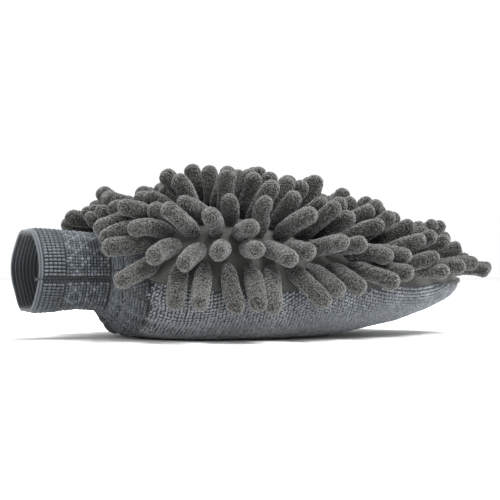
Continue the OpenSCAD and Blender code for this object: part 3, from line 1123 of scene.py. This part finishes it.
def settle_fingers(fingers, steps=40):
    """Bends the fingers at random and under their weight, and moves them until they lie clear of each other
    and of the skin. Each finger keeps its root and its length. Returns (n, CHAIN, 3)."""
    rng = np.random.default_rng(12)
    tree = skin_tree()
    roots = np.array([f[0] for f in fingers])
    axes = np.array([f[1] for f in fingers])
    lengths = np.array([f[2] for f in fingers]) - TIP_SHARE * FINGER_R
    lengths *= 1 - 0.14 * smooth_step(roots[:, 0], 55 * MM, 88 * MM)
    radii = finger_radius(roots)
    n = len(fingers)
    t = np.linspace(0, 1, CHAIN)
    chain = roots[:, None] + t[None, :, None] * lengths[:, None, None] * axes[:, None]
    side = unit(np.cross(axes, [0.03, 0.05, 1.0]))
    over = unit(np.cross(side, axes))
    wander = rng.normal(0, 1, (n, 2))
    tilt = rng.normal(0, 1, (n, 2))
    flat = np.hypot(axes[:, 0], axes[:, 1])
    bend = 0
    for way, amount, draw, power in ((side, 3.4, wander[:, 0], 2), (over, 2.4, wander[:, 1], 2),
                                     (side, 2.2, tilt[:, 0], 1), (over, 1.6, tilt[:, 1], 1)):
        bend = bend + way[:, None] * ((amount * MM * draw)[:, None, None] * (t ** power)[None, :, None])
    backwards = np.minimum(axes[:, 0], 0) * smooth_step(roots[:, 0], -80 * MM, -65 * MM)
    outward = smooth_step(np.hypot(backwards, axes[:, 1]), 0.25, 0.6)
    lie_down = 0.5 * outward * np.maximum(axes[:, 2], 0) * lengths
    sag = lie_down[:, None] * t[None] + (0.5 + 2.6 * flat ** 2)[:, None] * (t ** 2)[None] * MM
    aim_chain = chain + bend - sag[..., None] * np.array([0, 0, 1.0])
    segment = (lengths / (CHAIN - 1))[:, None]
    owner = np.repeat(np.arange(n), CHAIN - 2)
    reach = 0.985 * radii[owner]
    pull, push_share, most = 0.22, 0.42, 1.2 * MM
    for _ in range(steps):
        chain += pull * (aim_chain - chain)
        p = chain[:, 2:].reshape(-1, 3)
        for block in np.array_split(np.arange(len(p)), 6):
            d = p[block][:, None] - p[None]
            gap = np.linalg.norm(d, axis=-1)
            free = reach[block][:, None] + reach[None]
            near = (gap < free) & (owner[block][:, None] != owner[None])
            push = np.where(near, (free - gap) * push_share, 0) / np.maximum(gap, 1e-6)
            move = (d * push[..., None]).sum(1)
            size = np.linalg.norm(move, axis=1, keepdims=True)
            p[block] += move * np.minimum(1, most / np.maximum(size, 1e-9))
        chain[:, 2:] = p.reshape(n, CHAIN - 2, 3)
        for i in range(n):
            for k in range(2, CHAIN):
                near, _, _, gap = tree.find_nearest(chain[i, k])
                need = radii[i] * (0.8 if k == 2 else 1.02)
                if gap < need:
                    away = (chain[i, k] - np.array(near)) / max(gap, 1e-6)
                    chain[i, k] += away * (need - gap)
        chain[:, :, 2] = np.maximum(chain[:, :, 2], 1.05 * radii[:, None])
        chain[:, 0] = roots
        chain[:, 1] = roots + unit(chain[:, 1] - roots) * segment
        for k in range(2, CHAIN):
            chain[:, k] = chain[:, k - 1] + unit(chain[:, k] - chain[:, k - 1]) * segment
    return chain


def granules(rows, cols, n_along, n_round, rng):
    """Height of a field of round grains on a rows x cols grid that closes round its columns."""
    shift = rng.uniform(-0.38, 0.38, (n_along + 2, n_round, 2))
    tall = rng.uniform(0.55, 1.0, (n_along + 2, n_round))
    y = np.linspace(0, n_along, rows)[:, None] + np.zeros(cols)
    x = np.arange(cols)[None] / cols * n_round + np.zeros((rows, 1))
    iy, ix = np.floor(y).astype(int), np.floor(x).astype(int)
    best = np.zeros((rows, cols))
    for dy in (-1, 0, 1):
        for dx in (-1, 0, 1):
            cy, cx = np.clip(iy + dy, -1, n_along) + 1, (ix + dx) % n_round
            gap_y = iy + dy + 0.5 + shift[cy, cx, 0] - y
            gap_x = ix + dx + 0.5 + shift[cy, cx, 1] - x
            best = np.maximum(best, tall[cy, cx] * (1 - (gap_y ** 2 + gap_x ** 2) / 0.62))
    return np.maximum(best, 0)


def finger_rings(chain, length, rng, rings=84, sides=52):
    """Points and tones of one soft finger: a pinched root, a lumpy tube of looped pile, and a round tip. The
    tones are painted shade in the grain crevices and towards the root, with a painted highlight on the tip.
    """
    cap_steps = 14
    r = finger_radius(chain[0])
    straight = np.linspace(0, 1 - r / length, rings - cap_steps + 1)[:-1]
    cap_turn = np.linspace(0, 1, cap_steps) * QUARTER
    t = np.concatenate([straight, 1 - r / length * (1 - np.sin(cap_turn))])
    along = t * length
    knots = np.linspace(0, 1, CHAIN) * (length - TIP_SHARE * r) / length
    power = np.arange(4)[None]
    fit = np.linalg.lstsq((knots[:, None] ** power)[:, 1:], chain - chain[0], rcond=None)[0]
    centre = chain[0] + (t[:, None] ** power)[:, 1:] @ fit
    tangent = unit(np.gradient(centre, along, axis=0))
    tangent[-3:] = tangent[-3]
    reference = unit(np.cross(tangent[rings // 2], [0.13, 0.29, 0.95]))
    e1 = unit(np.cross(tangent, reference))
    angle = np.arange(sides) / sides * TAU
    plump = r * rng.uniform(0.95, 1.05)
    body = plump * (0.5 + 0.5 * smooth_step(along, -2 * MM, 8 * MM))
    past_cap = np.clip(along - (length - r), 0, None) / r
    cap = np.sqrt(np.clip(1 - past_cap ** 2, 0, 1))
    phase = rng.uniform(0, TAU, 4)
    lumps = (0.03 * np.sin(along[:, None] / (3.1 * MM) + phase[0] + np.sin(angle + phase[1]))
             + 0.03 * np.sin(along[:, None] / (5.3 * MM) + 2 * angle + phase[2]))
    grain = granules(rings, sides, 34, 24, rng)
    radius = (body * cap)[:, None] * (0.92 + lumps) + 0.7 * MM * grain * (0.3 + 0.7 * cap)[:, None]
    round_it = circles(e1, np.cross(tangent, e1), sides)
    points = centre[:, None] + np.maximum(radius, 0.05 * MM)[:, :, None] * round_it
    # Painted highlight on the round tip, and painted shade: dark in the crevices between the grains, light
    # on their tops.
    tip_highlight = past_cap[:, None] ** 3
    tone = 0.1 + 0.66 * grain + 0.2 * tip_highlight * grain
    # Painted shade towards the root, where the finger meets the skin, times a random tone for each finger.
    tone = tone * (0.25 + 0.75 * smooth_step(along, 1 * MM, 16 * MM))[:, None] * rng.uniform(0.85, 1.12)
    return points, np.clip(tone, 0, 1)


def build_fingers(node, fingers, chains, seed):
    rng = np.random.default_rng(seed)
    points, quads, tris, tones, n = [], [], [], [], 0
    for (_, _, length), chain in zip(fingers, chains):
        grid, tone = finger_rings(chain, length, rng)
        rows, cols = grid.shape[:2]
        ends = np.array([grid[0].mean(0), grid[-1].mean(0)])
        points += [grid.reshape(-1, 3), ends]
        quads.append(grid_quads(rows, cols, close_cols=True) + n)
        j = np.arange(cols)
        first, last = n + rows * cols, n + rows * cols + 1
        tris.append(np.stack([n + j, np.full(cols, first), n + (j + 1) % cols], -1))
        row = n + (rows - 1) * cols
        tris.append(np.stack([row + (j + 1) % cols, np.full(cols, last), row + j], -1))
        tones += [tone.ravel(), [tone[0, 0], tone[-1, 0]]]
        n += rows * cols + 2
    obj = closed_mesh("soft_" + node, np.concatenate(points), np.concatenate(quads), np.concatenate(tris),
                      chenille, tone=np.concatenate(tones))
    rides_pouch(obj, "chenille", node)


finger_nodes = sorted(n for n in frame["nodes"] if n.startswith("chenille_row"))
rows_of_fingers = [read_fingers(node) for node in finger_nodes]
settled = settle_fingers([f for row in rows_of_fingers for f in row])
start = 0
for number, (node, row) in enumerate(zip(finger_nodes, rows_of_fingers)):
    build_fingers(node, row, settled[start:start + len(row)], 100 + number)
    start += len(row)

# ---- Floor ----

corners = [[-3, -3, 0], [3, -3, 0], [3, 3, 0], [-3, 3, 0]]
floor = make_mesh("floor", corners, [[0, 1, 2, 3]], None, floor_material())
